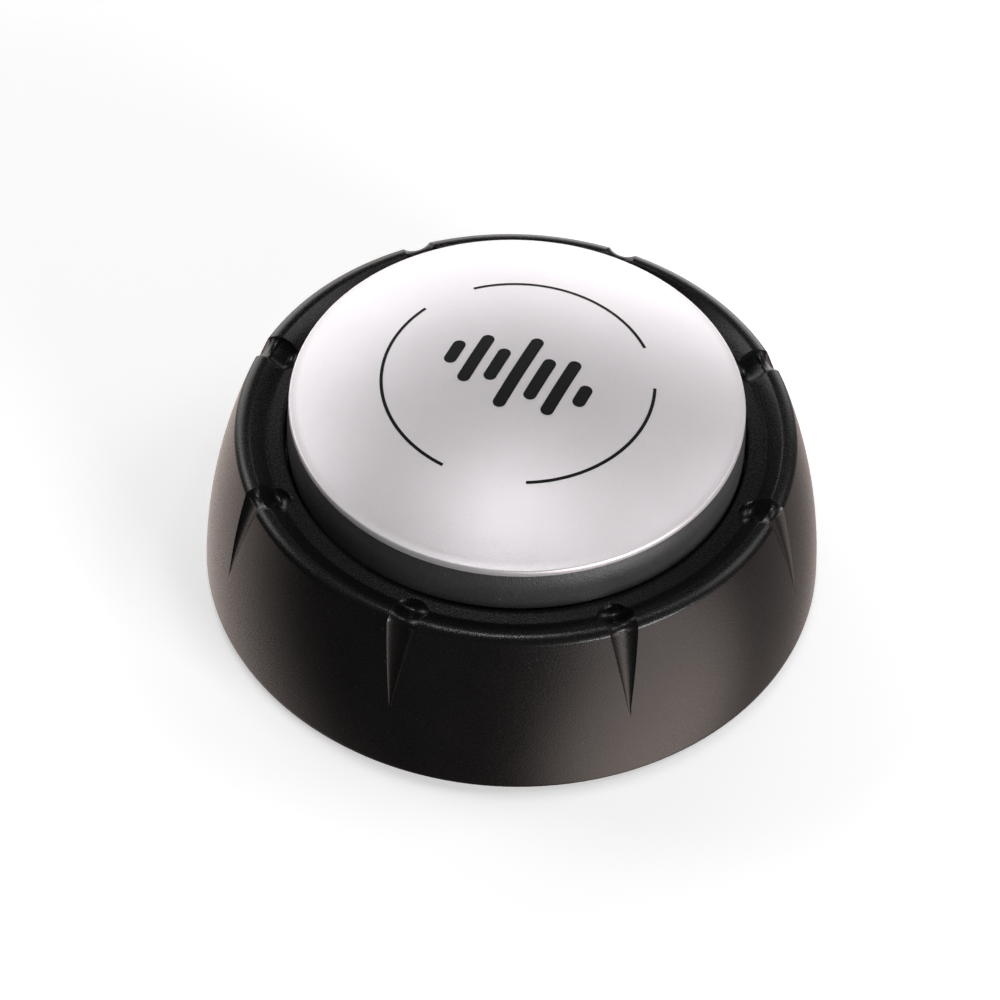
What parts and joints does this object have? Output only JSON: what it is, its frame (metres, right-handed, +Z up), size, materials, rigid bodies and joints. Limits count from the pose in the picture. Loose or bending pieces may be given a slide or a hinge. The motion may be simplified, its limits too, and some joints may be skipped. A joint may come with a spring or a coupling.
{
  "type": "quiz buzzer",
  "caption": "Round table-top buzzer: tapered black housing with notched rim, domed silver push button on a sprung grey cap, loudspeaker, board and battery compartment inside.",
  "frame": {"origin": "middle of the footprint, on the surface the feet stand on", "axes": "+Z up along the button's axis; +Y towards the battery door's screw, -Y towards the loudspeaker; the front of the printed face looks to -Y"},
  "size_m": [0.095, 0.095, 0.0408],
  "materials": {
    "black_plastic": "satin black moulded plastic with fine grain",
    "grey_plastic": "dark grey moulded plastic, fine grain",
    "silver_face": "satin silver, slightly speckled, rounded edge",
    "inner_plastic": "matt dark moulded plastic",
    "rubber": "matt black rubber",
    "steel": "plated steel",
    "board": "green solder resist",
    "epoxy": "black potting resin",
    "cell_jacket": "plain printed sleeve, no mark",
    "paper_cone": "black paper",
    "foam": "dark foam",
    "wire_red": "red wire insulation",
    "wire_black": "black wire insulation",
    "switch_white": "white moulded plastic",
    "resistor_tan": "ceramic chip resistor"
  },
  "bodies": {
    "base": {"base_plate": "black_plastic", "battery_1": "cell_jacket", "battery_2": "cell_jacket", "battery_wire_1": "wire_red", "battery_wire_2": "wire_black", "board_screw_1": "steel", "board_screw_2": "steel", "bridge_contact": "steel", "capacitor": "epoxy", "carrier_plate": "inner_plastic", "carrier_screw_1": "steel", "carrier_screw_2": "steel", "carrier_screw_3": "steel", "carrier_screw_4": "steel", "case_screw_1": "steel", "case_screw_2": "steel", "case_screw_3": "steel", "case_screw_4": "steel", "circuit_board": "board", "contact_spring_1": "steel", "contact_spring_2": "steel", "foot_1": "rubber", "foot_2": "rubber", "foot_3": "rubber", "foot_4": "rubber", "housing": "black_plastic", "negative_contact": "steel", "positive_contact": "steel", "resistor_1": "resistor_tan", "resistor_2": "resistor_tan", "resistor_3": "resistor_tan", "return_spring_1": "steel", "return_spring_2": "steel", "return_spring_3": "steel", "sound_chip": "epoxy", "speaker_frame": "steel", "speaker_gasket": "foam", "speaker_magnet": "steel", "speaker_screw_1": "steel", "speaker_screw_2": "steel", "speaker_wire_1": "wire_red", "speaker_wire_2": "wire_black", "switch_body": "epoxy"},
    "button": {"button_cap": "grey_plastic", "face_disc": "silver_face"},
    "switch_plunger": {"switch_plunger": "switch_white"},
    "door": {"battery_door": "black_plastic", "door_screw_1": "steel"},
    "cone": {"speaker_cone": "paper_cone"}
  },
  "joints": [
    {"name": "button_press", "type": "slide", "parent": "base", "child": "button", "axis": [0, 0, -1], "range_m": [0, 0.003], "stiffness_N_per_m": 900, "springref_m": -0.003, "deforming": ["return_spring_1", "return_spring_2", "return_spring_3"]},
    {"name": "switch_press", "type": "slide", "parent": "base", "child": "switch_plunger", "axis": [0, 0, -1], "range_m": [0, 0.003], "stiffness_N_per_m": 60, "springref_m": -0.003},
    {"name": "door_hinge", "type": "hinge", "parent": "base", "child": "door", "pos_m": [0, 0.0013, 0.001], "axis": [-1, 0, 0], "range_deg": [0, 60]},
    {"name": "cone_travel", "type": "slide", "parent": "base", "child": "cone", "axis": [0, 0, 1], "range_m": [-0.0003, 0.0003], "stiffness_N_per_m": 900}
  ],
  "couplings": [
    {"joint": "switch_press", "follows": "button_press", "ratio": 1}
  ]
}
